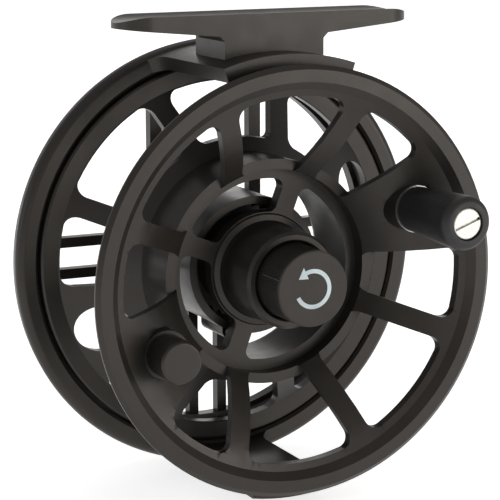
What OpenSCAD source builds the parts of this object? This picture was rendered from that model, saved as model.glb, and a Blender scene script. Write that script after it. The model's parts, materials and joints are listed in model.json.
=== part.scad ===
// Fly reel: an open half-frame with a V-shaped, ported spool, a sealed disc
// drag and a palming rim. X runs along the rod, +Z points to the rod, and the
// spool turns about an axis parallel to Y with its handle side facing -Y.
// The origin is the middle of the saddle on which the rod's reel seat rests.
// Depths are measured backwards (+Y) from the front face of the palming rim.

/* [Foot] */
// Length of the reel foot along the rod
foot_length = 62.6; // [60:0.2:68]
// Width of the reel foot across the rod
foot_width = 12; // [10:0.2:14]
// Radius of the hollow saddle on top of the foot
saddle_r = 16; // [14:0.5:22]
// Thickness of a wing at its tip
wing_tip_t = 2.3; // [1.8:0.1:2.6]
// Length of the foot's stem block along the rod
stem_length = 21.4; // [18:0.2:24]
// Depth of the stem, from the front of the wings backwards
stem_depth = 13.9; // [12:0.1:16]
// Height of the saddle above the spool's axis
axis_drop = 50.5; // [50.2:0.1:52]

/* [Palming rim] */
// Largest radius of the palming rim
rim_r = 42.6; // [42.2:0.1:42.8]
// Radius of the rim's flat front face, outer edge
rim_face_r = 41.7; // [41.4:0.1:41.9]
// Width of the rim's flat front face
rim_face_w = 2.4; // [2:0.1:2.8]
// Depth of the step inside the rim
rim_step = 1.5; // [1.2:0.1:1.7]

/* [Spool] */
// Angle of the handle above the rod's direction, seen from the front
handle_angle = 24; // [0:1:45]
// Number of spokes in each flange
spoke_count = 8; // [8:1:8]
// Width of a plain spoke
spoke_w = 4.3; // [3.5:0.1:5]
// Half angle of the two wide pads
pad_half_angle = 17.5; // [15:0.5:18]
// Radius of the flange windows' outer corners
window_corner = 2.3; // [1.5:0.1:3]
// Radius of the flange windows' inner corners
window_corner_in = 2; // [1.5:0.1:2.6]
// Outer radius of the arbor under the line
arbor_r = 22.8; // [22.5:0.1:23.5]
// Inner radius of the arbor
arbor_bore_r = 18.9; // [18.7:0.1:19.2]
// Outer radius of the rear flange
rear_flange_r = 40.2; // [39.5:0.1:40.3]

/* [Hub and cap] */
// Outer radius of the hub
hub_r = 9.7; // [9.5:0.1:10]
// Radius of the knurled spool cap
cap_r = 7.5; // [7.2:0.1:7.6]
// How far the cap stands in front of the rim
cap_proud = 4.6; // [3:0.1:6]
// Radius of the spindle
spindle_r = 3; // [3:0.1:3]

/* [Handle] */
// Distance of the handle from the spool's axis
handle_orbit = 30.1; // [29.8:0.1:30.5]
// Distance of the counterweight from the spool's axis
weight_orbit = 29.5; // [29.2:0.1:30]
// Radius of the handle at its base
grip_base_r = 4.6; // [4.3:0.1:4.7]
// Radius of the handle at its tip
grip_tip_r = 5.35; // [5:0.05:5.6]
// How far the handle stands in front of the rim
handle_proud = 16; // [14:0.5:20]

/* [Frame] */
// Largest radius of the frame's rear ring
ring_r = 45.2; // [44.8:0.1:45.6]
// Outer radius of the bridges that carry the foot
bridge_r = 44.3; // [44:0.1:44.5]
// Half angle of the top bridge
top_bridge_half = 18.5; // [17:0.5:20]
// Half angle of the bottom bridge
bottom_bridge_half = 11; // [9:0.5:13]

/* [Drag] */
// Radius of the drag knob
knob_r = 12.8; // [12.6:0.1:14]
// Radius of the drag housing's bore
drag_bore_r = 12.6; // [12.4:0.1:12.8]

/* [Hidden] */
$fn = 96;

far = 100;
eps = 0.01;
run_gap = 0.04;              // radial running clearance
face_gap = 0.1;              // clearance between faces that turn past each other
foot_depth = 18;             // the foot's middle lies this far behind the rim face

// Depths of the spool's main planes
web_d = 17;
web_t = 3;
line_back_d = 26.5;
rear_rim_d = 37;
rear_rim_t = 2.3;
arbor_back_d = 33;
flange_t = 2;                // flange thickness, measured along the axis
step_r = rim_face_r - rim_face_w - rim_step;
lip_r = 20.75;
front_window_r = 36.45;
front_window_in_r = 20.3;
rear_window_in_r = 25.5;
rear_window_r = 36.4;
dish_lean = 0.3;             // slope of the front flange at its outer edge
dish_curve = 0.024;          // how fast that slope grows inwards
dish_steps = 5;
seat_d = 4;                  // depth of the flat seats on the wide pads
boss_r = 4.8;
thread_r = 1.6;

// Hub bores, from the front
cap_pocket_r = cap_r + 0.4;
hub_front_d = 4.1;
bearing_d = 13.5;
bearing_w = 5;
bearing_r = 6.5;
clip_r = cap_pocket_r + 0.35;
clip_t = 0.5;
clutch_d = 20;
clutch_r = 7;
hub_back_d = 32.5;

// Drag stack, from the front
cup_front_d = 22;
cup_wall = 1.6;
cover_d = 34.4;
cover_t = 4;
disc_t = 1.2;
rotor_flange_t = 1.7;
plate_t = 1.8;
back_d = 45;
back_t = 3;
rear_d = back_d + back_t;
rotor_r = 4.97;
disc1_d = cover_d + cover_t;
rotor_d = disc1_d + disc_t + face_gap / 2;
disc2_d = rotor_d + rotor_flange_t + face_gap / 2;
press_d = disc2_d + disc_t;
pin_orbit = 7;
pin_r = 1.1;
knob_d = rear_d + 0.4;
knob_t = 8.6;
knob_pocket_r = 9.2;
knob_cover_r = 9.8;
knob_cover_t = 0.7;
thrust_d = rear_d + 0.8;
spring_d = thrust_d + 1;
washer_t = 0.45;
washer_rise = 0.3;
insert_d = spring_d + 2 * (washer_t + washer_rise) + face_gap;
insert_t = 3.4;
detent_orbit = 11;
detent_angle = 45;
detent_r = 0.7;
detent_hole_d = back_d + 0.6;

// Click
gear_d = 28.5;
gear_t = 1.8;
gear_r = 12;
gear_teeth = 36;
pawl_orbit = 16.3;
pawl_angle = 270;
post_back_d = 45;
post_t = 11;
pawl_slot = 4.6;              // width of the gap in the housing that lets the pawl in

// Depth of the front flange's face at radius r, a dish that steepens towards the arbor
function dish_d(r) = rim_step + dish_lean * (step_r - r) + dish_curve * pow(step_r - r, 2);

lip_d = dish_d(lip_r);
window_back_d = lip_d + 0.35;

// Points of the dish between two radii, moved back by shift
function dish(r1, r2, shift) = [for (i = [0:dish_steps])
    let (r = r1 + (r2 - r1) * i / dish_steps) [r, dish_d(r) + shift]];

// Places children so that their Z axis is the spool's axis pointing forwards
module on_axis() {
    translate([0, -foot_depth, -axis_drop]) rotate([90, 0, 0]) children();
}

// A turned solid, from [radius, depth] pairs
module turned(outline) {
    rotate_extrude() polygon([for (p = outline) [p[0], -p[1]]]);
}

// A disc or tube from depth d, t thick
module tube(r_out, r_in, d, t) {
    translate([0, 0, -d - t]) linear_extrude(t) difference() {
        circle(r_out);
        if (r_in > 0) circle(r_in);
    }
}

// A drill from depth d, t deep
module drill(r, d, t) {
    translate([0, 0, -d - t]) cylinder(r = r, h = t);
}

// Puts children at radius orbit and angle a around the axis
module at(orbit, a) {
    rotate(a) translate([orbit, 0, 0]) children();
}

// Flat pie slice from angle -half to +half
module slice(r, half) {
    intersection() {
        circle(r);
        polygon([[0, 0], 2 * r * [cos(half), -sin(half)], 2 * r * [1, 0],
                 2 * r * [cos(half), sin(half)]]);
    }
}

// A curved strip of a tube centred on angle a
module arc_strip(r_out, r_in, a, half, d, t) {
    translate([0, 0, -d - t]) linear_extrude(t) rotate(a) difference() {
        slice(r_out, half);
        circle(r_in);
    }
}

// ---------- foot and frame ----------

wing_root_t = 4.2;
foot_corner = 5.8;

module foot_plan() {
    offset(r = foot_corner, $fn = 64) offset(delta = -foot_corner)
        square([foot_length, foot_width], center = true);
}

// Height of the saddle's edges above its middle
saddle_rise = saddle_r - sqrt(saddle_r * saddle_r - foot_width * foot_width / 4);

module foot_side() {
    half = foot_length / 2;
    stem = stem_length / 2;
    root = saddle_rise - wing_root_t;
    tip = saddle_rise - wing_tip_t;
    polygon([[-half, saddle_rise], [half, saddle_rise], [half, tip], [stem + 1, root],
             [stem, root - 1], [stem, -axis_drop], [-stem, -axis_drop], [-stem, root - 1],
             [-stem - 1, root], [-half, tip]]);
}

screw_x = 6.5;

module foot() {
    color([0.13, 0.12, 0.12]) difference() {
        union() {
            intersection() {
                translate([0, foot_width / 2, 0]) rotate([90, 0, 0])
                    linear_extrude(foot_width) foot_side();
                translate([0, 0, -axis_drop]) linear_extrude(axis_drop + 10) foot_plan();
            }
            translate([-stem_length / 2, -foot_width / 2, -axis_drop])
                cube([stem_length, stem_depth, axis_drop + saddle_rise - wing_root_t]);
        }
        translate([0, 0, saddle_r]) rotate([0, 90, 0])
            cylinder(r = saddle_r, h = far, center = true);
        on_axis() drill(bridge_r, -far / 2, far);
        for (x = [-screw_x, screw_x])
            translate([x, 0, -9]) cylinder(r = 1.25, h = 6.5);
    }
}

// Countersunk screws that hold the foot on the top bridge
module foot_screws() {
    head_z = -axis_drop + 41.6;
    color([0.6, 0.6, 0.6])
        for (x = [-screw_x, screw_x]) translate([x, 0, head_z]) difference() {
            union() {
                cylinder(r1 = 2.4, r2 = 1.25, h = 1.2);
                cylinder(r = 1.25, h = 5.8);
            }
            translate([0, 0, -eps]) cylinder(r = 1, h = 0.8, $fn = 6);
        }
}

// Section of the rear ring: a flat front with rounded edges, a ledge behind the
// spool's rear flange, and a shallow bowl behind that
ring_front_d = 37.3;
ring_round = 1.7;
ledge_r = 38.5;
ledge_d = 41.2;

module ring_section() {
    mid_r = ring_r - ring_round;
    mid_d = ring_front_d + ring_round;
    inner_r = rear_flange_r + 0.6;
    polygon([for (p = [[inner_r, ledge_d], [inner_r, ring_front_d + 0.6], [inner_r + 0.6, ring_front_d],
             for (a = [90:-15:0]) [mid_r + ring_round * cos(a), mid_d - ring_round * sin(a)],
             [ring_r - 0.4, 41.2], [41.6, 46.6], [39.8, rear_d], [37, rear_d], [37, back_d + 0.2],
             [38, back_d - 0.2], [ledge_r, 43], [ledge_r, ledge_d]]) [p[0], -p[1]]]);
}

bar_gap = 3.3;               // half the distance between the middles of twin bars
bar_w = 2.1;
bar_t = 2.4;
bar_angles = [0, 180, 270];
strut_gap = 11.4;            // half the distance between the two upright struts
strut_w = 2.7;
housing_r = drag_bore_r + cup_wall;

// The skeleton behind the spool: twin bars, and two struts up to the foot's bridge
module back_bars() {
    for (a = bar_angles, side = [-bar_gap, bar_gap])
        rotate(a) translate([drag_bore_r, side - bar_w / 2, -back_d - back_t / 2 - bar_t / 2])
            cube([39.6 - drag_bore_r, bar_w, bar_t]);
    for (side = [-strut_gap, strut_gap])
        translate([side - strut_w / 2, 5, -back_d - back_t / 2 - bar_t / 2])
            cube([strut_w, 33.4, bar_t]);
}

module drag_housing() {
    difference() {
        union() {
            tube(housing_r, 0, cup_front_d, rear_d - cup_front_d);
            rotate(pawl_angle) translate([housing_r - 1, 0, 0])
                translate([0, -1.6, -post_back_d]) cube([pawl_orbit - housing_r + 1, 3.2, post_t]);
            at(pawl_orbit, pawl_angle) drill(1.6, post_back_d - post_t, post_t);
        }
        drill(drag_bore_r, cup_front_d - 1, back_d - cup_front_d + 1);
        drill(spindle_r, back_d - 1, back_t + 2);
        for (a = [0:120:240]) at(pin_orbit, a) drill(pin_r + 0.05, back_d - 1, back_t + 2);
        at(detent_orbit, detent_angle) drill(detent_r + 0.05, detent_hole_d, back_t);
        at(pawl_orbit, pawl_angle) drill(0.8, post_back_d - post_t - 1, 8);
        rotate(pawl_angle) translate([hub_r, -pawl_slot / 2, -gear_d - gear_t - 1.2])
            cube([pawl_orbit - hub_r, pawl_slot, gear_t + 2.4]);
    }
}

module bridges() {
    arc_strip(bridge_r, rear_flange_r + 1.2, 90, top_bridge_half, 5, 34.5);
    arc_strip(bridge_r, rear_flange_r + 1.2, 270, bottom_bridge_half, 5, 34.5);
}

// Flares that blend the bridges into the ring, with rounded edges
module bridge_flare(a, half) {
    flare = 6;
    bottom_r = rear_flange_r + 1.2;
    step = flare / bridge_r * 180 / PI;
    intersection() {
        tube(bridge_r, bottom_r, 28, 12);
        for (side = [-1, 1]) rotate(a + side * half)
            difference() {
                translate([bottom_r - 5, side > 0 ? -1 : -flare, -38.5])
                    cube([12, flare + 1, flare]);
                translate([0, side * flare, -38.5 + flare])
                    rotate([0, 90, 0]) cylinder(r = flare, h = far);
            }
    }
}

module frame() {
    color([0.12, 0.11, 0.11]) difference() {
        on_axis() {
            rotate_extrude() ring_section();
            back_bars();
            drag_housing();
            bridges();
            bridge_flare(90, top_bridge_half);
            bridge_flare(270, bottom_bridge_half);
        }
        for (x = [-screw_x, screw_x]) translate([x, 0, -axis_drop]) {
            translate([0, 0, 38]) cylinder(r = 1.25, h = 10);
            translate([0, 0, 41.6]) cylinder(r1 = 2.4, r2 = 1.25, h = 1.2);
            translate([0, 0, 38]) cylinder(r = 2.4, h = 3.6);
        }
    }
}

// ---------- spindle and drag ----------

spindle_front_d = -1.2;
spindle_back_d = insert_d + insert_t + 0.1;

module spindle() {
    color([0.75, 0.75, 0.77]) on_axis() difference() {
        tube(spindle_r, 0, spindle_front_d, spindle_back_d - spindle_front_d);
        drill(1.2, spindle_back_d - 5, 6);
    }
}

module bearing_inner_ring() {
    color([0.75, 0.75, 0.77]) on_axis() rotate_extrude() difference() {
        translate([spindle_r, -bearing_d - bearing_w])
            square([1.15, bearing_w]);
        translate([4.75, -bearing_d - bearing_w / 2]) circle(0.85, $fn = 48);
    }
}

module drag_cover() {
    seal_d = cover_d + 1;
    color([0.2, 0.2, 0.21]) on_axis() difference() {
        tube(drag_bore_r, rotor_r + 0.25, cover_d, cover_t);
        drill(6.6, seal_d, 1.8);
        for (a = [0:90:270]) at(9.8, a) drill(0.9, cover_d - 1, 2.5);
    }
}

module drag_seal() {
    color([0.05, 0.05, 0.05]) on_axis() rotate_extrude()
        translate([(rotor_r + run_gap + 6.6) / 2, -cover_d - 1.9])
            circle((6.6 - rotor_r - run_gap) / 2, $fn = 48);
}

module friction_discs() {
    color([0.28, 0.24, 0.2]) on_axis() {
        tube(12.2, 5.6, disc1_d, disc_t);
        tube(12.2, 5.6, disc2_d, disc_t);
    }
}

module pressure_plate() {
    color([0.6, 0.6, 0.62]) on_axis() tube(12.3, 4, press_d, plate_t);
}

module pressure_pins() {
    color([0.75, 0.75, 0.77]) on_axis()
        for (a = [0:120:240]) at(pin_orbit, a)
            drill(pin_r, press_d + plate_t, thrust_d - press_d - plate_t);
}

module thrust_ring() {
    color([0.6, 0.6, 0.62]) on_axis() tube(8.7, 5.4, thrust_d, spring_d - thrust_d);
}

// Two dished spring washers, face to face
module spring_washers() {
    middle = spring_d + washer_rise + washer_t;
    inner = 3.3;
    outer = 8.4;
    color([0.35, 0.36, 0.38]) on_axis() {
        turned([[inner, middle - washer_t], [outer, spring_d], [outer, spring_d + washer_t],
                [inner, middle]]);
        turned([[inner, middle], [outer, middle + washer_rise],
                [outer, middle + washer_rise + washer_t], [inner, middle + washer_t]]);
    }
}

module drag_rotor() {
    color([0.75, 0.75, 0.77]) on_axis() {
        tube(rotor_r, 4.2, clutch_d + 0.6, rotor_d + rotor_flange_t - clutch_d - 0.6);
        tube(11.8, rotor_r - eps, rotor_d, rotor_flange_t);
    }
}

module rotor_bushes() {
    end_d = rotor_d + rotor_flange_t;
    color([0.7, 0.5, 0.25]) on_axis() {
        tube(4.2, spindle_r + run_gap, clutch_d + 0.6, 5);
        tube(4.2, spindle_r + run_gap, end_d - 5, 5);
    }
}

module stop_screw() {
    head_d = spindle_back_d + 0.1;
    head_t = 1;
    shank_d = spindle_back_d - 4;
    color([0.6, 0.6, 0.6]) on_axis() difference() {
        union() {
            tube(4, 0, head_d, head_t);
            tube(1.2, 0, shank_d, head_d - shank_d + eps);
        }
        translate([0, 0, -head_d - head_t - eps]) cylinder(r = 1.2, h = 0.7, $fn = 6);
    }
}

// Fluted knob that turns on the spindle's rear end and squeezes the drag
flute_count = 16;

module drag_knob() {
    end_d = knob_d + knob_t;
    groove = detent_r + 0.2;
    color([0.12, 0.11, 0.11]) on_axis() difference() {
        turned([[knob_pocket_r, knob_d], [knob_r - 0.5, knob_d], [knob_r, knob_d + 0.5],
                [knob_r, end_d - 3.6], [knob_r - 0.7, end_d - 1.8], [knob_r - 2.2, end_d],
                [0, end_d], [0, insert_d], [knob_pocket_r, insert_d]]);
        drill(5.5, knob_d, insert_d + insert_t - knob_d);
        drill(4.4, knob_d, knob_t - knob_cover_t);
        drill(knob_cover_r, end_d - knob_cover_t - 0.1, 2);
        for (i = [0:flute_count - 1]) at(knob_r + 1.1, i * 360 / flute_count)
            drill(1.7, knob_d + 1.4, knob_t);
        translate([0, 0, -knob_d - 0.5]) linear_extrude(1) difference() {
            circle(detent_orbit + groove);
            circle(detent_orbit - groove);
        }
    }
}

module knob_insert() {
    color([0.72, 0.58, 0.3]) on_axis()
        tube(5.5, spindle_r + run_gap, insert_d, insert_t);
}

module knob_cover() {
    color([0.3, 0.3, 0.31]) on_axis()
        tube(knob_cover_r, 0, knob_d + knob_t - knob_cover_t - 0.1, knob_cover_t);
}

module detent_ball() {
    color([0.75, 0.75, 0.77]) on_axis() at(detent_orbit, detent_angle)
        translate([0, 0, -rear_d + 0.05]) sphere(detent_r, $fn = 32);
}

module detent_spring() {
    turns = 3;
    pitch = 0.47;
    wire_r = 0.16;
    color([0.5, 0.5, 0.5]) on_axis() at(detent_orbit, detent_angle)
        for (i = [0:turns - 1]) translate([0, 0, -detent_hole_d - 0.25 - i * pitch])
            rotate_extrude() translate([0.5, 0]) circle(wire_r, $fn = 24);
}

// ---------- click ----------

module click_gear() {
    tooth = 360 / gear_teeth;
    color([0.72, 0.58, 0.3]) on_axis() translate([0, 0, -gear_d - gear_t])
        linear_extrude(gear_t) difference() {
            polygon([for (i = [0:gear_teeth - 1], k = [0, 1])
                     (gear_r - k * 0.8) * [cos((i + k / 2) * tooth), sin((i + k / 2) * tooth)]]);
            circle(hub_r);
        }
}

module click_pawl() {
    reach = pawl_orbit - gear_r - 0.15;
    color([0.6, 0.6, 0.62]) on_axis() at(pawl_orbit, pawl_angle)
        translate([0, 0, -gear_d - gear_t + 0.1]) linear_extrude(gear_t - 0.2) difference() {
            union() {
                circle(1.5);
                polygon([[0, 1.4], [-reach, 0.25], [-reach, -0.25], [0, -1.4]]);
            }
            circle(0.65);
        }
}

module pawl_pin() {
    color([0.75, 0.75, 0.77]) on_axis() at(pawl_orbit, pawl_angle) {
        tube(0.6, 0, gear_d - 0.5, post_back_d - post_t - gear_d + 0.5);
        tube(0.8, 0, post_back_d - post_t, 6.5);
        tube(1.1, 0, gear_d - 0.9, 0.5);
    }
}

module pawl_spring() {
    wire = 0.2;
    color([0.5, 0.5, 0.5]) on_axis() at(pawl_orbit, pawl_angle)
        for (i = [0:4]) translate([0, 0, -gear_d - gear_t - 0.5 - i * 0.6])
            rotate_extrude() translate([1.1, 0]) circle(wire, $fn = 24);
}

// ---------- spool ----------

// Points of a window's rounded corner. The window's side is the line at angle a,
// moved sideways by shift towards the window, which lies on side s of it.
// orbit is the corner's distance from the axis, and r is its radius.
function corner_mid(orbit, r, a, shift, s) =
    let (along = sqrt(orbit * orbit - (shift + r) * (shift + r)))
    along * [cos(a), sin(a)] + s * (shift + r) * [-sin(a), cos(a)];

function corner_side(orbit, r, a, shift, s) =
    corner_mid(orbit, r, a, shift, s) - s * r * [-sin(a), cos(a)];

// A window between two radii and two sides, each side given as [angle, shift]
module window(r_out, r_in, side_1, side_2, r_corner_out, r_corner_in) {
    sides = [[side_1, 1], [side_2, -1]];
    orbit_out = r_out - r_corner_out;
    orbit_in = r_in + r_corner_in;
    halves = [for (q = sides)
        let (a = q[0][0], shift = q[0][1], s = q[1],
             outer = corner_mid(orbit_out, r_corner_out, a, shift, s),
             inner = corner_mid(orbit_in, r_corner_in, a, shift, s))
        [outer * 1.7, outer * r_out / orbit_out,
         corner_side(orbit_out, r_corner_out, a, shift, s),
         corner_side(orbit_in, r_corner_in, a, shift, s),
         inner * r_in / orbit_in, inner * 0.5]];
    intersection() {
        difference() {
            circle(r_out);
            circle(r_in);
        }
        polygon([for (p = halves[0]) p, for (i = [5:-1:0]) halves[1][i]]);
    }
    for (q = sides) {
        translate(corner_mid(orbit_out, r_corner_out, q[0][0], q[0][1], q[1]))
            circle(r_corner_out + eps);
        translate(corner_mid(orbit_in, r_corner_in, q[0][0], q[0][1], q[1]))
            circle(r_corner_in + eps);
    }
}

// Sides of the spoke with number i: a plain spoke has parallel sides, and a pad
// is a sector. s picks the side: 1 is anticlockwise.
function spoke_side(i, s) = i % (spoke_count / 2) == 0
    ? [i * 360 / spoke_count + s * pad_half_angle, 0]
    : [i * 360 / spoke_count, spoke_w / 2];

// All the windows of a flange, between two radii
module windows(r_out, r_in) {
    for (i = [0:spoke_count - 1])
        window(r_out, r_in, spoke_side(i, 1), spoke_side(i + 1, -1),
               window_corner, window_corner_in);
}

// Windows of the recessed web around the hub
web_spokes = 4;
web_spoke_w = 4;
web_corner = 1.7;

module web_windows() {
    step = 360 / web_spokes;
    for (i = [0:web_spokes - 1])
        window(arbor_bore_r - 0.4, hub_r + 2, [i * step + step / 2, web_spoke_w / 2],
               [i * step + step * 3 / 2, web_spoke_w / 2], web_corner, web_corner);
}

module spool_body() {
    cone_back = arbor_r + (rear_rim_d - line_back_d) * 1.32;
    turned([[rim_face_r - rim_face_w, 0], [rim_face_r, 0], [rim_r, 0.7], [rim_r, 1.2],
            [rim_face_r - 0.3, 3.4], [step_r + 1.5, 3.8], for (p = dish(step_r, arbor_r, flange_t)) p,
            [arbor_r, line_back_d], [cone_back, rear_rim_d], [rear_flange_r - 0.4, rear_rim_d],
            [rear_flange_r, rear_rim_d + 0.4], [rear_flange_r, rear_rim_d + rear_rim_t],
            [cone_back - 0.2, rear_rim_d + rear_rim_t], [21.6, 28.2], [21.6, arbor_back_d],
            [arbor_bore_r + 0.6, arbor_back_d], [arbor_bore_r, arbor_back_d - 2],
            [arbor_bore_r, web_d], [lip_r, web_d], for (p = dish(lip_r, step_r, 0)) p]);
}

module hub_body() {
    turned([[cap_pocket_r + 0.3, hub_front_d], [hub_r - 0.6, hub_front_d],
            [hub_r, hub_front_d + 0.6], [hub_r, web_d - 1.6], [hub_r + 0.4, web_d - 0.7],
            [hub_r + 1.5, web_d - 0.4], [hub_r + 1.8, web_d], [arbor_bore_r + 0.5, web_d],
            [arbor_bore_r + 0.5, web_d + web_t], [hub_r, web_d + web_t], [hub_r, hub_back_d],
            [clutch_r, hub_back_d], [clutch_r, clutch_d], [5.4, clutch_d],
            [5.4, bearing_d + bearing_w], [bearing_r, bearing_d + bearing_w],
            [bearing_r, bearing_d], [clip_r, bearing_d], [clip_r, bearing_d - clip_t],
            [cap_pocket_r, bearing_d - clip_t], [cap_pocket_r, hub_front_d + 0.3]]);
}

// Flat-topped boss that stands on the sloping pad
module pad_boss(orbit) {
    intersection() {
        at(orbit, 0) drill(boss_r, seat_d, 14);
        turned([[arbor_r, seat_d], [step_r - 2, seat_d], for (p = dish(step_r - 2, arbor_r, flange_t)) p]);
    }
}

module spool() {
    color([0.13, 0.12, 0.12]) on_axis() rotate(handle_angle) difference() {
        union() {
            difference() {
                spool_body();
                translate([0, 0, -window_back_d]) linear_extrude(window_back_d + 1)
                    windows(front_window_r, front_window_in_r);
                translate([0, 0, -rear_rim_d - rear_rim_t - 1])
                    linear_extrude(rear_rim_d + rear_rim_t + 1 - line_back_d)
                        windows(rear_window_r, rear_window_in_r);
                for (a = [0, 180]) at(rear_window_r - 5, a) drill(5, line_back_d, 20);
            }
            difference() {
                hub_body();
                translate([0, 0, -web_d - web_t - 1]) linear_extrude(web_t + 2) web_windows();
            }
            pad_boss(handle_orbit);
            rotate(180) pad_boss(weight_orbit);
        }
        for (orbit = [handle_orbit, -weight_orbit]) at(orbit, 0) {
            drill(boss_r + 0.1, -1, seat_d + 1);
            drill(thread_r, 0, 16);
        }
        at(-weight_orbit, 0) drill(2.7, weight_head_d, 8);
    }
}

module bearing_outer_ring() {
    color([0.75, 0.75, 0.77]) on_axis() rotate_extrude() difference() {
        translate([5.35, -bearing_d - bearing_w]) square([bearing_r - 5.35, bearing_w]);
        translate([4.75, -bearing_d - bearing_w / 2]) circle(0.85, $fn = 48);
    }
}

module bearing_balls() {
    count = 9;
    color([0.85, 0.85, 0.87]) on_axis()
        for (i = [0:count - 1]) at(4.75, i * 360 / count)
            translate([0, 0, -bearing_d - bearing_w / 2]) sphere(0.8, $fn = 32);
}

// Split ring that keeps the bearing in the hub
module bearing_clip() {
    color([0.5, 0.5, 0.5]) on_axis() translate([0, 0, -bearing_d])
        linear_extrude(clip_t) difference() {
            circle(clip_r);
            circle(clip_r - 1.6);
            translate([0, -1.2]) square([far, 2.4]);
        }
}

roller_count = 8;
roller_r = 0.62;
roller_orbit = rotor_r + run_gap + roller_r;

module one_way_clutch() {
    color([0.6, 0.6, 0.62]) on_axis() difference() {
        tube(clutch_r, rotor_r + 0.05, clutch_d + 0.2, 12);
        for (i = [0:roller_count - 1]) at(roller_orbit, i * 360 / roller_count)
            drill(roller_r + run_gap, clutch_d + 1.7, 9);
    }
}

module clutch_rollers() {
    color([0.85, 0.85, 0.87]) on_axis()
        for (i = [0:roller_count - 1]) at(roller_orbit, i * 360 / roller_count)
            drill(roller_r, clutch_d + 1.8, 8.8);
}

// ---------- handle and counterweight ----------

module at_handle() {
    on_axis() rotate(handle_angle) translate([handle_orbit, 0, 0]) children();
}

screw_head_r = 3.05;
screw_head_d = 0.3 - handle_proud;
screw_head_t = 1.2;
shoulder_r = 2;
handle_washer_t = 0.35;
slot_w = 0.6;
slot_angle = 20 - handle_angle;

module handle_screw() {
    color([0.78, 0.77, 0.74]) at_handle() difference() {
        union() {
            tube(screw_head_r, 0, screw_head_d, screw_head_t);
            tube(shoulder_r, 0, screw_head_d + 1, seat_d - screw_head_d - 1);
            tube(thread_r, 0, seat_d - eps, 3);
        }
        rotate(slot_angle) translate([-5, -slot_w / 2, -screw_head_d - 0.6]) cube([10, slot_w, 2]);
    }
}

module handle_washer() {
    color([0.8, 0.79, 0.76]) at_handle() 
        tube(boss_r - 0.05, shoulder_r, seat_d - handle_washer_t, handle_washer_t);
}

module handle_grip() {
    base_d = seat_d - handle_washer_t - face_gap;
    tip_round = 1.5;
    hole_r = screw_head_r + 0.15;
    color([0.1, 0.1, 0.1]) at_handle()
        turned([[shoulder_r + run_gap, base_d], [grip_base_r - 0.3, base_d],
                [grip_base_r, base_d - 0.3], [grip_base_r + 0.1, base_d - 5],
                [grip_tip_r - 0.1, 5 - handle_proud],
                for (a = [0:15:90]) [grip_tip_r + tip_round * (cos(a) - 1),
                                     tip_round * (1 - sin(a)) - handle_proud],
                [hole_r, -handle_proud], [hole_r, screw_head_d + screw_head_t + face_gap],
                [shoulder_r + run_gap, screw_head_d + screw_head_t + face_gap]]);
}

weight_r = 4.15;
weight_proud = 3.4;
weight_head_d = 7;

module counterweight() {
    color([0.14, 0.13, 0.13]) on_axis() at(-weight_orbit, handle_angle) difference() {
        turned([[0, -weight_proud], [weight_r - 0.5, -weight_proud],
                [weight_r, 0.5 - weight_proud], [weight_r, seat_d], [0, seat_d]]);
        drill(1.3, 0, far);
    }
}

module counterweight_screw() {
    head_t = 1.3;
    color([0.6, 0.6, 0.6]) on_axis() at(-weight_orbit, handle_angle) difference() {
        union() {
            tube(1.3, 0, 0.4, weight_head_d - 0.4);
            tube(2.5, 0, weight_head_d, head_t);
        }
        drill(1.1, weight_head_d + 0.6, 2, $fn = 6);
    }
}

// ---------- spool cap ----------

cap_back_d = 12.7;

module spool_cap() {
    color([0.12, 0.11, 0.12]) on_axis() difference() {
        turned([[0, -cap_proud], [cap_r - 0.35, -cap_proud], [cap_r, 0.35 - cap_proud],
                [cap_r, cap_back_d - 0.4], [cap_r - 0.4, cap_back_d], [0, cap_back_d]]);
        drill(5.2, -2, far);
    }
}

module cap_insert() {
    color([0.72, 0.58, 0.3]) on_axis() difference() {
        union() {
            tube(5.2, 0, -2, cap_back_d + 2);
            tube(4.1, 0, cap_back_d - eps, bearing_d - cap_back_d - face_gap);
        }
        drill(spindle_r + run_gap, spindle_front_d - 0.3, far);
    }
}

frame();
foot();
foot_screws();
spindle();
drag_cover();
drag_seal();
friction_discs();
pressure_plate();
pressure_pins();
thrust_ring();
spring_washers();
stop_screw();
detent_ball();
detent_spring();
pawl_pin();
pawl_spring();
bearing_inner_ring();
drag_rotor();
rotor_bushes();
drag_knob();
knob_insert();
knob_cover();
click_pawl();
spool();
bearing_outer_ring();
bearing_balls();
bearing_clip();
one_way_clutch();
clutch_rollers();
click_gear();
handle_screw();
handle_washer();
counterweight();
counterweight_screw();
handle_grip();
spool_cap();
cap_insert();
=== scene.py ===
import json
import math

import bmesh
import bpy
from mathutils import Matrix, Vector


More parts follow.
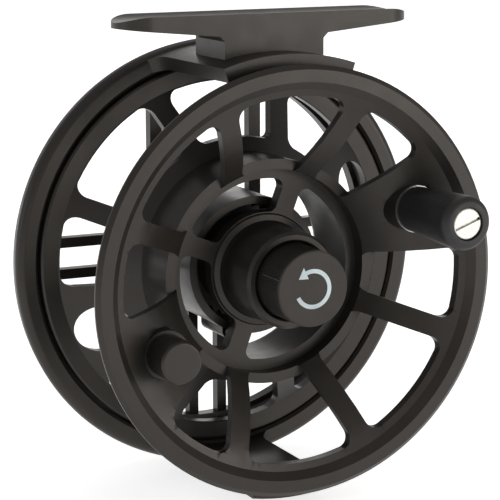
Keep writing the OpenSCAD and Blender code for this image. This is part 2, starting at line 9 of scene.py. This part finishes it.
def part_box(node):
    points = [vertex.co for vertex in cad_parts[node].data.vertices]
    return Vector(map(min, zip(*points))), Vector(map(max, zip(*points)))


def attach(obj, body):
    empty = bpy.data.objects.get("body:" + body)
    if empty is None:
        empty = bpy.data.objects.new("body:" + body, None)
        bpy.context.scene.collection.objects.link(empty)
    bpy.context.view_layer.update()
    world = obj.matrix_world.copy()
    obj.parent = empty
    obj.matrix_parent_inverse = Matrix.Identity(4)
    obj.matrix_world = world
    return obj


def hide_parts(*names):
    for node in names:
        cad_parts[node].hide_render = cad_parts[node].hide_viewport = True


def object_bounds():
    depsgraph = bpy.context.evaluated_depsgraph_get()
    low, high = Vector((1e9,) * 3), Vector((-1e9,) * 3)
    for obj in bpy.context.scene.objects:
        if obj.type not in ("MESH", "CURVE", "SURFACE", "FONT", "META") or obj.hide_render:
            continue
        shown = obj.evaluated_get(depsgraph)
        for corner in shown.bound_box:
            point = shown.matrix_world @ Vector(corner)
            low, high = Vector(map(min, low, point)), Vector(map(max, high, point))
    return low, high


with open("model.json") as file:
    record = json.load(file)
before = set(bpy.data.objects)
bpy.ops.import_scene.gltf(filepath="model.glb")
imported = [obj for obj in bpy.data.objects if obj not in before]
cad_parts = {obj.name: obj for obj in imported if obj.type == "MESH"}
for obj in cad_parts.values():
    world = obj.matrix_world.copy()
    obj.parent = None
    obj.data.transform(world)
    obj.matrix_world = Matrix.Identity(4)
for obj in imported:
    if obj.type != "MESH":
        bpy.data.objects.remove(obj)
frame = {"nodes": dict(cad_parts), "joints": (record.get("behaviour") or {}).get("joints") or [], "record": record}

cad_lo, cad_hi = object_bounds()
scene = bpy.context.scene
nodes = frame["nodes"]
joints = {joint["name"]: joint for joint in frame["joints"]}

MM = 0.001
AXIS = Vector(joints["spool_spin"]["pos_m"]) / MM       # a point on the spool's axis
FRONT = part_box("spool")[0].y / MM                       # y of the palming rim's front face
GRIP = Vector(joints["handle_spin"]["pos_m"]) / MM


def span(node):
    """Depths of a node's front and back."""
    lo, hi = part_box(node)
    return lo.y / MM - FRONT, hi.y / MM - FRONT


def half_width(node):
    """Half of a node's size along X, which is the radius of a turned one."""
    lo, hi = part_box(node)
    return (hi.x - lo.x) / 2 / MM


def middle_of(node):
    lo, hi = (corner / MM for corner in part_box(node))
    return (lo + hi) / 2


# ---------- camera ----------

CAMERA_AZIMUTH = 25.3        # degrees to the left of straight on
CAMERA_ELEVATION = 10.8
CAMERA_ROLL = -0.21
CAMERA_AWAY = 387.5          # distance from the rim's centre along the view
CAMERA_RIGHT = -10.14
CAMERA_UP = 6.72
LENS = 144
SENSOR = 36


def make_camera():
    a, e, roll = (math.radians(v) for v in (CAMERA_AZIMUTH, CAMERA_ELEVATION, CAMERA_ROLL))
    back = Vector((-math.sin(a) * math.cos(e), -math.cos(a) * math.cos(e), math.sin(e)))
    level = Vector((math.cos(a), -math.sin(a), 0))
    rise = back.cross(level)
    right = level * math.cos(roll) + rise * math.sin(roll)
    up = rise * math.cos(roll) - level * math.sin(roll)
    rim = Vector((AXIS.x, FRONT, AXIS.z))
    place = rim + right * CAMERA_RIGHT + up * CAMERA_UP + back * CAMERA_AWAY
    camera = bpy.data.objects.new("camera", bpy.data.cameras.new("camera"))
    camera.data.lens = LENS
    camera.data.sensor_width = SENSOR
    camera.data.clip_start, camera.data.clip_end = 0.01, 20
    camera.matrix_world = Matrix.Translation(place * MM) @ Matrix(
        (right, up, back)).transposed().to_4x4()
    scene.collection.objects.link(camera)
    scene.camera = camera


# ---------- materials ----------

class Nodes:
    """Short names for building a material's nodes."""

    def __init__(self, name, metallic=0.0):
        self.material = bpy.data.materials.new(name)
        self.material.use_nodes = True
        self.tree = self.material.node_tree
        self.shader = self.tree.nodes["Principled BSDF"]
        self.shader.inputs["Metallic"].default_value = metallic
        self.coords = self.add("ShaderNodeTexCoord").outputs["Object"]

    def add(self, kind, **values):
        node = self.tree.nodes.new(kind)
        for key, value in values.items():
            setattr(node, key, value)
        return node

    def link(self, output, socket):
        self.tree.links.new(output, socket)

    def noise(self, scale, detail=3.0, stretch=(1, 1, 1)):
        mapping = self.add("ShaderNodeMapping")
        mapping.inputs["Scale"].default_value = stretch
        texture = self.add("ShaderNodeTexNoise")
        texture.inputs["Scale"].default_value = scale
        texture.inputs["Detail"].default_value = detail
        self.link(self.coords, mapping.inputs["Vector"])
        self.link(mapping.outputs["Vector"], texture.inputs["Vector"])
        return texture.outputs["Fac"]

    def ramp(self, factor, low, high, start=0.3, end=0.7):
        node = self.add("ShaderNodeMapRange")
        node.inputs["From Min"].default_value = start
        node.inputs["From Max"].default_value = end
        node.inputs["To Min"].default_value = low
        node.inputs["To Max"].default_value = high
        self.link(factor, node.inputs["Value"])
        return node.outputs["Result"]

    def mix(self, factor, first, second):
        node = self.add("ShaderNodeMix", data_type="RGBA")
        for socket, value in ((node.inputs[6], first), (node.inputs[7], second)):
            if isinstance(value, tuple):
                socket.default_value = (*value, 1)
            else:
                self.link(value, socket)
        self.link(factor, node.inputs[0])
        return node.outputs[2]

    def surface(self, tone, roughness):
        self.link(tone, self.shader.inputs["Base Color"])
        self.link(roughness, self.shader.inputs["Roughness"])

    def bump(self, height, strength, distance):
        node = self.add("ShaderNodeBump")
        node.inputs["Strength"].default_value = strength
        node.inputs["Distance"].default_value = distance
        self.link(height, node.inputs["Height"])
        self.link(node.outputs["Normal"], self.shader.inputs["Normal"])


def shade(rgb, factor):
    return tuple(min(1, channel * factor) for channel in rgb)


OXIDE_IOR = 1.44
WARM_GLOSS = (1, 0.94, 0.89, 1)


def anodised(name, rgb, roughness=0.35, grain=1.0):
    """Dyed and sealed oxide: a fine bead-blasted grain under a satin gloss."""
    n = Nodes(name)
    cloud = n.noise(90, 4)
    speck = n.noise(5200, 2)
    tone = n.mix(n.ramp(cloud, 0, 1), shade(rgb, 0.82), shade(rgb, 1.2))
    tone = n.mix(n.ramp(speck, 0, 0.35, 0.45, 0.7), tone, shade(rgb, 1.9))
    n.surface(tone, n.ramp(n.noise(260, 5), roughness - 0.035, roughness + 0.045))
    n.shader.inputs["IOR"].default_value = OXIDE_IOR
    n.shader.inputs["Specular Tint"].default_value = WARM_GLOSS
    n.bump(speck, 0.22 * grain, 0.00004)
    return n.material


def moulded(name, rgb, roughness):
    """Smooth moulded plastic with a faint orange peel."""
    n = Nodes(name)
    tone = n.mix(n.ramp(n.noise(160, 3), 0, 1), shade(rgb, 0.85), shade(rgb, 1.2))
    n.surface(tone, n.ramp(n.noise(700, 4), roughness - 0.04, roughness + 0.05))
    n.bump(n.noise(1900, 2), 0.1, 0.00003)
    return n.material


def turned_metal(name, rgb, roughness, stretch=(1, 1, 1)):
    """Bare metal with fine tool marks."""
    n = Nodes(name, 1.0)
    marks = n.noise(2600, 3, stretch)
    tone = n.mix(n.ramp(marks, 0, 1), shade(rgb, 0.84), shade(rgb, 1.12))
    n.surface(tone, n.ramp(n.noise(420, 4), roughness - 0.05, roughness + 0.08))
    n.bump(marks, 0.12, 0.00003)
    return n.material


def woven(name, rgb, roughness, pitch):
    """Small crossed threads, for the drag discs."""
    n = Nodes(name)
    checker = n.add("ShaderNodeTexChecker")
    checker.inputs["Scale"].default_value = 1 / (pitch * MM)
    n.link(n.coords, checker.inputs["Vector"])
    tone = n.mix(checker.outputs["Fac"], shade(rgb, 0.7), shade(rgb, 1.35))
    n.surface(tone, n.ramp(n.noise(900, 3), roughness - 0.05, roughness + 0.08))
    n.bump(checker.outputs["Fac"], 0.3, 0.00008)
    return n.material


def rubber(name, rgb):
    """Dull moulded rubber, for the drag's seal."""
    n = Nodes(name)
    tone = n.mix(n.ramp(n.noise(500, 3), 0, 1), shade(rgb, 0.8), shade(rgb, 1.3))
    n.surface(tone, n.ramp(n.noise(1500, 3), 0.52, 0.68))
    n.bump(n.noise(3000, 2), 0.15, 0.00004)
    return n.material


MATERIALS = {
    "black_anodised": anodised("black_anodised", (0.0165, 0.0145, 0.0125)),
    "black_cap": anodised("black_cap", (0.0175, 0.0155, 0.0135), 0.5, 0.8),
    "grey_anodised": anodised("grey_anodised", (0.04, 0.04, 0.042), 0.4),
    "handle_black": moulded("handle_black", (0.0105, 0.0098, 0.0098), 0.52),
    "white_print": moulded("white_print", (0.5, 0.58, 0.6), 0.5),
    "bright_screw": turned_metal("bright_screw", (0.6, 0.59, 0.55), 0.34, (1, 0.1, 1)),
    "steel": turned_metal("steel", (0.56, 0.56, 0.57), 0.3),
    "spring_steel": turned_metal("spring_steel", (0.4, 0.4, 0.41), 0.34),
    "bearing_steel": turned_metal("bearing_steel", (0.72, 0.72, 0.74), 0.14),
    "brass": turned_metal("brass", (0.66, 0.47, 0.2), 0.26),
    "bronze": turned_metal("bronze", (0.5, 0.32, 0.17), 0.42),
    "friction": woven("friction", (0.03, 0.028, 0.026), 0.5, 0.9),
    "seal_rubber": rubber("seal_rubber", (0.014, 0.014, 0.014)),
}
SLOTS = {part["node"]: part["material_slot"] for part in frame["record"]["subparts"]}


def finish_piece(piece, body, slot, *replaced):
    """Gives a piece the material of its slot, parents it to its body, and hides the CAD nodes it stands for.
    The printed mark's material has no slot in the record."""
    piece.data.materials.clear()
    piece.data.materials.append(MATERIALS[slot])
    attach(piece, body)
    if replaced:
        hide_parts(*replaced)


# ---------- mesh tools ----------

SHARP = math.radians(20)             # edges that bend more than this stay sharp
FLAT = math.radians(0.3)             # faces that bend less than this are merged
MERGE = 2e-7                         # metres between vertices of a CAD mesh that are one


def to_object(bm, name, weighted=True):
    """Makes an object from a bmesh in metres, smooth but for its sharp edges."""
    bmesh.ops.recalc_face_normals(bm, faces=bm.faces)
    for face in bm.faces:
        face.smooth = True
    for edge in bm.edges:
        edge.smooth = len(edge.link_faces) == 2 and edge.calc_face_angle(0) < SHARP
    mesh = bpy.data.meshes.new(name)
    bm.to_mesh(mesh)
    bm.free()
    piece = bpy.data.objects.new(name, mesh)
    scene.collection.objects.link(piece)
    if weighted:
        modifier = piece.modifiers.new("flat_faces", "WEIGHTED_NORMAL")
        modifier.keep_sharp = True
    return piece


def softened(name, node, width, segments=2):
    """A CAD node's shape with its sharp edges broken."""
    bm = bmesh.new()
    bm.from_mesh(nodes[node].data)
    bmesh.ops.remove_doubles(bm, verts=bm.verts, dist=MERGE)
    bmesh.ops.dissolve_limit(bm, angle_limit=FLAT, verts=bm.verts, edges=bm.edges)
    edges = [edge for edge in bm.edges
             if len(edge.link_faces) == 2 and edge.calc_face_angle(0) > SHARP]
    bmesh.ops.bevel(bm, geom=edges, offset=width * MM, segments=segments, profile=0.5,
                    affect="EDGES", clamp_overlap=True)
    return to_object(bm, name)


def bridge_rings(bm, rings):
    """Joins rings of equal length one to the next, and closes both ends."""
    for first, second in zip(rings, rings[1:]):
        for k in range(len(first)):
            j = (k + 1) % len(first)
            bm.faces.new((first[k], first[j], second[j], second[k]))
    bm.faces.new(rings[0])
    bm.faces.new(rings[-1])


def sector(bm, r_in, r_out, start, end, front, back, steps=24):
    """A curved bar round the spool's axis, between two radii, angles and depths."""
    rings = []
    for k in range(steps + 1):
        a = math.radians(start + (end - start) * k / steps)
        ring = []
        for r, d in ((r_in, front), (r_out, front), (r_out, back), (r_in, back)):
            ring.append(bm.verts.new((Vector((AXIS.x + r * math.cos(a), FRONT + d,
                                              AXIS.z + r * math.sin(a)))) * MM))
        rings.append(ring)
    bridge_rings(bm, rings)


def plate(bm, corners, front, back):
    """A flat plate from corners given as (x, z), between two depths."""
    bridge_rings(bm, [[bm.verts.new((x * MM, (FRONT + d) * MM, z * MM)) for x, z in corners]
                      for d in (front, back)])


def coil(bm, middle, radius, wire, front, back, turns, sides=8, around=24):
    """A helical spring along Y, with its ends closed."""
    steps = int(turns * around)
    rings = []
    for k in range(steps + 1):
        a = 2 * math.pi * k / around
        out = Vector((math.cos(a), 0, math.sin(a)))
        center = middle + out * radius
        center.y = FRONT + front + wire + (back - front - 2 * wire) * k / steps
        ring = []
        for m in range(sides):
            b = 2 * math.pi * m / sides
            ring.append(bm.verts.new((center + out * (wire * math.cos(b))
                                      + Vector((0, wire * math.sin(b), 0))) * MM))
        rings.append(ring)
    bridge_rings(bm, rings)


def turned(bm, outline, center, steps=96, wave=None):
    """Turns an outline of (radius, depth) points about a Y axis through center.
    wave(index, angle) may change the radius of an outline point at an angle."""
    rings = []
    for index, (radius, depth) in enumerate(outline):
        if radius == 0:
            rings.append([bm.verts.new((center.x * MM, (FRONT + depth) * MM, center.z * MM))])
            continue
        ring = []
        for k in range(steps):
            a = 2 * math.pi * k / steps
            r = radius + (wave(index, a) if wave else 0)
            ring.append(bm.verts.new(((center.x + r * math.cos(a)) * MM, (FRONT + depth) * MM,
                                      (center.z + r * math.sin(a)) * MM)))
        rings.append(ring)
    for first, second in zip(rings, rings[1:]):
        for k in range(steps):
            j = (k + 1) % steps
            corners = [first[k % len(first)], first[j % len(first)],
                       second[j % len(second)], second[k % len(second)]]
            unique = list(dict.fromkeys(corners))
            if len(unique) > 2:
                bm.faces.new(unique)


def rounding(r, front, radius, angles):
    """Points of a front corner's arc, at angles in degrees from the side to the face."""
    return [(r - radius * (1 - math.cos(math.radians(a))),
             front + radius * (1 - math.sin(math.radians(a)))) for a in angles]


# ---------- pieces that are softened copies of their CAD solids ----------

SOFTENED = {                         # body, and width of the broken edges
    "spool": ("spool_body", 0.16),
    "frame": ("reel_frame", 0.22),
    "foot": ("reel_frame", 0.25),
    "drag_knob": ("knob", 0.15),
    "knob_cover": ("knob", 0.12),
    "click_gear": ("spool_body", 0.05),
    "click_pawl": ("pawl", 0.1),
}


def make_softened():
    for node, (body, width) in SOFTENED.items():
        finish_piece(softened(node + "_shell", node, width), body, SLOTS[node], node)


# ---------- spool cap ----------

CAP_RIBS = 110
RIB_STEPS = 4                # mesh steps to a rib
RIB_DEPTH = 0.11
HALF_CUT = 0.05              # how far in from the knurl's ends its ribs reach half depth
FULL_CUT = 0.2
FRONT_BAND = 0.75            # plain band in front of the knurl
KNURL_BACK = 5.2
CAP_EDGE = 0.35              # rounding of the cap's front corner
CAP_EDGE_MIDDLE = 0.1        # and how far in its middle point lies
CAP_BACK_EDGE = 0.4
CAP_FACE_RING = 1.6          # keeps the face flat up to its corner
CAP_BORE_FIT = 0.02          # clearance round the brass core
CAP_BORE_FRONT = -2          # depth at which the bore stops
SCRIBE_ANGLE = 163           # where the index line is scribed on the cap's side
SCRIBE_HALF_W = 0.07
SCRIBE_PROUD = 0.02
SCRIBE_FRONT = 0.3           # how far the line starts in front of the knurl
SCRIBE_BACK = 0.6            # and how far it stops before the knurl's end


def make_cap():
    """Cap with a fine straight knurl between two plain bands."""
    front, back = span("spool_cap")
    r = half_width("spool_cap")
    bore_r = half_width("cap_insert") + CAP_BORE_FIT
    knurl_front = front + FRONT_BAND
    ribbed = ((knurl_front, 0), (knurl_front + HALF_CUT, 0.5), (knurl_front + FULL_CUT, 1),
              (KNURL_BACK - FULL_CUT, 1), (KNURL_BACK - HALF_CUT, 0.5), (KNURL_BACK, 0))
    face = [(0, front), (r - CAP_FACE_RING, front), (r - CAP_EDGE, front),
            (r - CAP_EDGE_MIDDLE, front + CAP_EDGE_MIDDLE), (r, front + CAP_EDGE)]
    rear = [(r, back - CAP_BACK_EDGE), (r - CAP_BACK_EDGE, back), (bore_r, back),
            (bore_r, CAP_BORE_FRONT), (0, CAP_BORE_FRONT)]
    outline = face + [(r, depth) for depth, cut in ribbed] + rear
    cuts = [0] * len(face) + [cut for depth, cut in ribbed] + [0] * len(rear)

    def wave(index, angle):
        rib = 0.5 - 0.5 * math.cos(angle * CAP_RIBS)
        return -RIB_DEPTH * cuts[index] * rib

    bm = bmesh.new()
    turned(bm, outline, AXIS, CAP_RIBS * RIB_STEPS, wave)
    finish_piece(to_object(bm, "knurled_cap"), "cap", SLOTS["spool_cap"], "spool_cap")
    bm = bmesh.new()
    half = math.degrees(SCRIBE_HALF_W / r)
    sector(bm, r - RIB_DEPTH, r + SCRIBE_PROUD, SCRIBE_ANGLE - half, SCRIBE_ANGLE + half,
           knurl_front - SCRIBE_FRONT, KNURL_BACK - SCRIBE_BACK, 1)
    finish_piece(to_object(bm, "cap_index_line", False), "cap", "steel")


MARK_PROUD = 0.03            # thickness of the printed mark above the face
MARK_ROOT = 0.02             # and below it
MARK_R = 3.5
MARK_HALF_W = 0.42
MARK_START, MARK_END = 205, 475
ARROW_HALF_W = 1.25
ARROW_LENGTH = 1.9
ARROW_LEAN = 0.3             # the arrow's tip leans in, as its path curves


def make_cap_mark():
    """Plain turning arrow, printed on the cap's face."""
    face = span("spool_cap")[0]
    front, back = face - MARK_PROUD, face + MARK_ROOT
    bm = bmesh.new()
    sector(bm, MARK_R - MARK_HALF_W, MARK_R + MARK_HALF_W, MARK_START, MARK_END, front, back, 64)
    a = math.radians(MARK_END)
    way = Vector((-math.sin(a), math.cos(a)))
    out = Vector((math.cos(a), math.sin(a)))
    root = Vector((AXIS.x, AXIS.z)) + out * MARK_R
    tip = root + way * ARROW_LENGTH - out * ARROW_LEAN
    plate(bm, [root - out * ARROW_HALF_W, root + out * ARROW_HALF_W, tip], front, back)
    finish_piece(to_object(bm, "cap_turning_arrow", False), "cap", "white_print")


# ---------- handle ----------

GRIP_BASE_R = 4.6
GRIP_BASE_EDGE = 0.35
GRIP_BASE_MIDDLE = 0.1       # how far in the edge's middle point lies
GRIP_TIP_ROUND = 1.6
GRIP_ENDS = 2.1              # length of the barrel that its two rounded ends take
GRIP_STEPS = 12
GRIP_TIP_STEPS = 8
GRIP_BORE_R = 2.04
GRIP_SEAT = 1.3              # how far the screw's recess goes behind its face
RECESS_FIT = 0.15            # clearance round the screw's head
RECESS_EDGE = 0.12


def make_grip():
    """Smooth barrel, a little wider at its rounded tip."""
    front, back = span("handle_grip")
    tip_r = half_width("handle_grip")
    recess_r = half_width("handle_screw") + RECESS_FIT
    seat = span("handle_screw")[0] + GRIP_SEAT
    base = [(GRIP_BORE_R, back), (GRIP_BASE_R - GRIP_BASE_EDGE, back),
            (GRIP_BASE_R - GRIP_BASE_MIDDLE, back - GRIP_BASE_MIDDLE)]
    side = []
    for k in range(GRIP_STEPS + 1):
        t = k / GRIP_STEPS
        side.append((GRIP_BASE_R + (tip_r - GRIP_BASE_R) * t * t * (3 - 2 * t),
                     back - GRIP_BASE_EDGE - (back - front - GRIP_ENDS) * t))
    tip = rounding(tip_r, front, GRIP_TIP_ROUND,
                   [k * 90 / GRIP_TIP_STEPS for k in range(1, GRIP_TIP_STEPS + 1)])
    recess = [(recess_r + RECESS_EDGE, front), (recess_r, front + RECESS_EDGE), (recess_r, seat),
              (GRIP_BORE_R, seat), (GRIP_BORE_R, back)]
    bm = bmesh.new()
    turned(bm, base + side + tip + recess, GRIP)
    bmesh.ops.remove_doubles(bm, verts=bm.verts, dist=1e-7)
    finish_piece(to_object(bm, "grip_barrel"), "grip", SLOTS["handle_grip"], "handle_grip")


HEAD_T = 1.2
HEAD_EDGE = 0.25
HEAD_EDGE_MIDDLE = 0.07
SHOULDER_R = 2
SHOULDER_BACK = 4
THREAD_R = 1.6
THREAD_PITCH = 0.5
THREAD_DEPTH = 0.24
THREAD_FRONT = 0.2           # plain length between the shoulder and the thread
THREAD_BACK = 0.4            # and between the thread and the screw's end
THREAD_END = 0.3             # how much thinner the screw's end is
SLOT_TILT = 20               # degrees, of the screw's slot
SLOT_W = 0.62
SLOT_DEPTH = 0.6
SLOT_FLOOR_T = 0.1
ARC_STEPS = 32


def add_slotted_face(bm, face_r, front):
    """The head's face as two half discs with the slot's floor between them."""
    tilt = math.radians(SLOT_TILT)
    along = Vector((math.cos(tilt), math.sin(tilt)))
    across = Vector((-along.y, along.x))
    middle = Vector((GRIP.x, GRIP.z))
    half = SLOT_W / 2
    reach = math.asin(half / face_r)
    floor_front = front + SLOT_DEPTH
    floor_back = front + SLOT_DEPTH + SLOT_FLOOR_T
    for turn in (0, math.pi):
        arc = []
        for k in range(ARC_STEPS + 1):
            a = tilt + (reach + turn) + (math.pi - 2 * reach) * k / ARC_STEPS
            arc.append(middle + Vector((math.cos(a), math.sin(a))) * face_r)
        plate(bm, arc, front, floor_back)
    length = math.sqrt(face_r ** 2 - half ** 2)
    floor = [middle + along * length * u + across * half * v
             for u, v in ((-1, -1), (1, -1), (1, 1), (-1, 1))]
    plate(bm, floor, floor_front, floor_back)


def make_handle_screw():
    """Shoulder screw with a slot across its turned head."""
    front, back = span("handle_screw")
    r = half_width("handle_screw")
    face_r = r - HEAD_EDGE
    head_back = front + HEAD_T
    head = [(face_r, front), (r - HEAD_EDGE_MIDDLE, front + HEAD_EDGE_MIDDLE),
            (r, front + HEAD_EDGE), (r, head_back)]
    shoulder = [(SHOULDER_R, head_back), (SHOULDER_R, SHOULDER_BACK), (THREAD_R, SHOULDER_BACK)]
    thread = []
    depth = SHOULDER_BACK + THREAD_FRONT
    while depth < back - THREAD_BACK:
        thread += [(THREAD_R, depth), (THREAD_R - THREAD_DEPTH, depth + THREAD_PITCH / 2)]
        depth += THREAD_PITCH
    end = [(THREAD_R - THREAD_END, back), (0, back)]
    bm = bmesh.new()
    turned(bm, head + shoulder + thread + end, GRIP)
    add_slotted_face(bm, face_r, front)
    bmesh.ops.remove_doubles(bm, verts=bm.verts, dist=1e-8)
    finish_piece(to_object(bm, "slotted_screw"), "spool_body", SLOTS["handle_screw"], "handle_screw")


WEIGHT_ROUND = 0.6
WEIGHT_BACK_EDGE = 0.15
WEIGHT_HOLE_R = 1.3          # hole for the screw that holds the button
WEIGHT_HOLE_FRONT = 0.4


def make_counterweight():
    """Solid button opposite the handle."""
    front, back = span("counterweight")
    r = half_width("counterweight")
    edge = rounding(r, front, WEIGHT_ROUND, range(90, -1, -15))
    rear = [(r, back - WEIGHT_BACK_EDGE), (r - WEIGHT_BACK_EDGE, back), (WEIGHT_HOLE_R, back),
            (WEIGHT_HOLE_R, WEIGHT_HOLE_FRONT), (0, WEIGHT_HOLE_FRONT)]
    bm = bmesh.new()
    turned(bm, [(0, front)] + edge + rear, middle_of("counterweight"), 80)
    finish_piece(to_object(bm, "weight_button"), "spool_body", SLOTS["counterweight"], "counterweight")


# ---------- springs ----------

SPRINGS = {                          # piece's name, radius of its wire, turns
    "detent_spring": ("detent_coil", 0.16, 4),
    "pawl_spring": ("pawl_coil", 0.2, 6),
}


def make_springs():
    for node, (name, wire, turns) in SPRINGS.items():
        bm = bmesh.new()
        coil(bm, middle_of(node), half_width(node) - wire, wire, *span(node), turns)
        finish_piece(to_object(bm, name, False), "reel_frame", SLOTS[node], node)


def finish_cad_nodes():
    for node, thing in nodes.items():
        thing.data.materials.clear()
        thing.data.materials.append(MATERIALS[SLOTS[node]])


# ---------- stage ----------

FLOOR_HALF = 3.0
FLOOR_DROP = 0.0004
FLOOR_GLOW = 0.72                    # keeps the floor pale under soft lamps
DIM_ROOM = (0.4, 0.39, 0.39)         # what the reel's surfaces see around the lamps
LAMPS = {                            # place, width and height, watts, colour
    "key": ((0.6, -0.8, -0.02), (0.6, 0.5), 4.4, (1, 0.97, 0.93)),
    "left_edge": ((-0.95, 0.1, 0.1), (0.1, 0.4), 0.5, (0.75, 0.83, 1)),
    "top": ((0.25, 0.3, 0.95), (0.5, 0.5), 1.0, (1, 0.98, 0.95)),
    "rear": ((0.6, 0.9, 0.3), (0.6, 0.5), 1.4, (1, 0.98, 0.95)),
}


def make_floor():
    z = cad_lo.z - FLOOR_DROP
    floor_mesh = bpy.data.meshes.new("floor")
    corners = [(x * FLOOR_HALF, y * FLOOR_HALF, z) for x, y in ((-1, -1), (1, -1), (1, 1), (-1, 1))]
    floor_mesh.from_pydata(corners, [], [(0, 1, 2, 3)])
    floor = bpy.data.objects.new("floor", floor_mesh)
    scene.collection.objects.link(floor)
    n = Nodes("floor_paper")
    n.link(n.mix(n.ramp(n.noise(3, 2), 0, 1), (0.86, 0.86, 0.86), (0.9, 0.9, 0.9)),
           n.shader.inputs["Base Color"])
    n.shader.inputs["Roughness"].default_value = 0.8
    n.shader.inputs["Emission Color"].default_value = (1, 1, 1, 1)
    n.shader.inputs["Emission Strength"].default_value = FLOOR_GLOW
    floor_mesh.materials.append(n.material)


def make_world():
    """White where the camera sees it, and dim where the reel reflects it."""
    world = bpy.data.worlds.new("studio")
    world.use_nodes = True
    tree = world.node_tree
    background = tree.nodes["Background"]
    background.inputs["Strength"].default_value = 1.0
    rays = tree.nodes.new("ShaderNodeLightPath")
    mix = tree.nodes.new("ShaderNodeMix")
    mix.data_type = "RGBA"
    mix.inputs[6].default_value = (*DIM_ROOM, 1)
    mix.inputs[7].default_value = (1, 1, 1, 1)
    tree.links.new(rays.outputs["Is Camera Ray"], mix.inputs[0])
    tree.links.new(mix.outputs[2], background.inputs["Color"])
    scene.world = world


def make_lamps():
    """Area lights that face the reel."""
    target = Vector((0, 0, AXIS.z * MM))
    for name, (place, size, power, color) in LAMPS.items():
        light = bpy.data.lights.new(name, "AREA")
        light.color = color
        light.shape = "RECTANGLE"
        light.size, light.size_y = size
        light.energy = power
        lamp = bpy.data.objects.new(name, light)
        lamp.location = place
        lamp.rotation_euler = (target - Vector(place)).to_track_quat("-Z", "Y").to_euler()
        scene.collection.objects.link(lamp)


make_camera()
make_softened()
make_cap()
make_cap_mark()
make_grip()
make_handle_screw()
make_counterweight()
make_springs()
finish_cad_nodes()
make_floor()
make_world()
make_lamps()
scene.view_settings.view_transform = "Standard"
